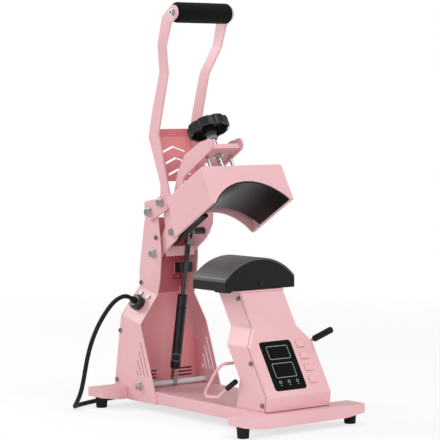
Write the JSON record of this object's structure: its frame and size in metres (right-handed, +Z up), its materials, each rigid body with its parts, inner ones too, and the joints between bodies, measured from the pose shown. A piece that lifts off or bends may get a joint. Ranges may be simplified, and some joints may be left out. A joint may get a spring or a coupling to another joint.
{
  "type": "cap heat press",
  "caption": "Hand-levered heat press for caps: folded column, toggle head with screw pressure, curved lower platen on a control housing, and a mains cord.",
  "frame": {"origin": "on the floor under the middle of the base", "axes": "+X to the operator's right, +Y from the operator towards the column, +Z up"},
  "size_m": [0.3413, 0.678, 0.7253],
  "materials": {
    "pink_powder_coat": "satin powder coat",
    "pink_plastic": "moulded caps",
    "zinc_steel": "zinc plated",
    "bright_steel": "turned and bright",
    "dark_steel": "black nitrided",
    "brass": "turned",
    "black_rubber": "dull black",
    "black_foam": "closed-cell foam",
    "black_plastic": "glass-filled nylon",
    "black_enamel": "gloss black enamel",
    "black_aluminium": "cast, black non-stick coat",
    "grey_silicone": "dark grey silicone",
    "black_window": "gloss acrylic",
    "board": "circuit board",
    "heater_rubber": "silicone heater mat",
    "mineral_mat": "mineral fibre mat"
  },
  "bodies": {
    "frame": {"base_frame": "pink_powder_coat", "rubber_feet": "black_rubber", "foot_screws": "zinc_steel", "left_cheek": "pink_powder_coat", "right_cheek": "pink_powder_coat", "rear_cover": "pink_powder_coat", "sheet_screws": "zinc_steel", "strut_foot_shaft": "bright_steel", "foot_shaft_bolts": "zinc_steel", "arm_pivot_bolts": "zinc_steel", "handle_pivot_bolts": "zinc_steel", "limit_switch": "black_plastic", "cable_gland": "black_plastic", "strain_relief": "black_rubber", "housing_shell": "pink_powder_coat", "front_panel": "pink_powder_coat", "neck_plate": "pink_powder_coat", "display_window": "black_window", "circuit_board": "board", "lower_platen": "black_aluminium", "silicone_pad": "grey_silicone", "platen_bolts": "dark_steel", "power_cord": "black_rubber", "cord_coil": "black_rubber", "power_plug": "black_rubber", "plug_pins": "brass"},
    "arm": {"left_arm_plate": "pink_powder_coat", "right_arm_plate": "pink_powder_coat", "arm_web": "pink_powder_coat", "cross_plate": "pink_powder_coat", "screw_nut": "zinc_steel", "link_shaft": "zinc_steel", "nylon_sleeves": "black_plastic", "heater_cable": "black_plastic"},
    "head": {"head_cover": "pink_powder_coat", "heating_platen": "black_aluminium", "heating_element": "heater_rubber", "insulation_mat": "mineral_mat", "guide_rods": "bright_steel"},
    "screw": {"pressure_screw": "bright_steel", "pressure_knob": "black_plastic"},
    "handle": {"left_handle_arm": "pink_powder_coat", "right_handle_arm": "pink_powder_coat", "yoke_plate": "pink_powder_coat", "grip_tube": "bright_steel", "foam_grip": "black_foam", "grip_bolts": "zinc_steel", "crank_bolts": "zinc_steel"},
    "links": {"toggle_links": "pink_powder_coat"},
    "strut_body": {"strut_cylinder": "black_enamel", "strut_foot_eye": "zinc_steel"},
    "strut_piston": {"strut_rod": "dark_steel", "rod_sleeve": "black_plastic", "strut_fork": "bright_steel"},
    "hold_down": {"hold_down_wire": "pink_powder_coat", "wire_grips": "black_rubber"},
    "button_1_cap": {"button_1": "pink_plastic"},
    "button_2_cap": {"button_2": "pink_plastic"},
    "button_3_cap": {"button_3": "pink_plastic"},
    "button_4_cap": {"button_4": "pink_plastic"}
  },
  "joints": [
    {"name": "arm_hinge", "type": "hinge", "parent": "frame", "child": "arm", "pos_m": [0, 0.146, 0.279], "axis": [1, 0, 0], "range_deg": [0, 30], "stiffness_Nm_per_rad": 6, "springref_deg": -74.48},
    {"name": "handle_hinge", "type": "hinge", "parent": "frame", "child": "handle", "pos_m": [0, 0.152, 0.3535], "axis": [1, 0, 0], "range_deg": [0, 63.1]},
    {"name": "link_hinge", "type": "hinge", "parent": "arm", "child": "links", "pos_m": [0, 0.094, 0.32], "axis": [1, 0, 0], "range_deg": [-51.3, 0]},
    {"name": "strut_foot_hinge", "type": "hinge", "parent": "frame", "child": "strut_body", "pos_m": [0, 0.145, 0.0425], "axis": [1, 0, 0], "range_deg": [0, 4.35]},
    {"name": "strut_rod_slide", "type": "slide", "parent": "strut_body", "child": "strut_piston", "axis": [0, -0.1808, 0.9835], "range_m": [-0.0279, 0]},
    {"name": "knob_spin", "type": "hinge", "parent": "head", "child": "screw", "pos_m": [0, -0.03413, 0.383], "axis": [0, 0.5, 0.866], "range_deg": [0, 1441]},
    {"name": "head_slide", "type": "slide", "parent": "arm", "child": "head", "axis": [0, 0.5, 0.866], "range_m": [0, 0.008]},
    {"name": "hold_down_hinge", "type": "hinge", "parent": "frame", "child": "hold_down", "pos_m": [0, -0.098, 0.107], "axis": [1, 0, 0], "range_deg": [0, 50]},
    {"name": "button_1_press", "type": "slide", "parent": "frame", "child": "button_1_cap", "axis": [0, 0.8554, -0.5179], "range_m": [0, 0.001], "stiffness_N_per_m": 500},
    {"name": "button_2_press", "type": "slide", "parent": "frame", "child": "button_2_cap", "axis": [0, 0.8554, -0.5179], "range_m": [0, 0.001], "stiffness_N_per_m": 500},
    {"name": "button_3_press", "type": "slide", "parent": "frame", "child": "button_3_cap", "axis": [0, 0.8554, -0.5179], "range_m": [0, 0.001], "stiffness_N_per_m": 500},
    {"name": "button_4_press", "type": "slide", "parent": "frame", "child": "button_4_cap", "axis": [0, 0.8554, -0.5179], "range_m": [0, 0.001], "stiffness_N_per_m": 500}
  ],
  "couplings": [
    {"joint": "handle_hinge", "follows": "arm_hinge", "ratio": 2.1003},
    {"joint": "link_hinge", "follows": "arm_hinge", "ratio": -1.706},
    {"joint": "strut_foot_hinge", "follows": "arm_hinge", "ratio": 0.1427},
    {"joint": "strut_rod_slide", "follows": "arm_hinge", "m_per_rad": -0.05313},
    {"joint": "knob_spin", "follows": "head_slide", "rad_per_m": 3141.6}
  ]
}
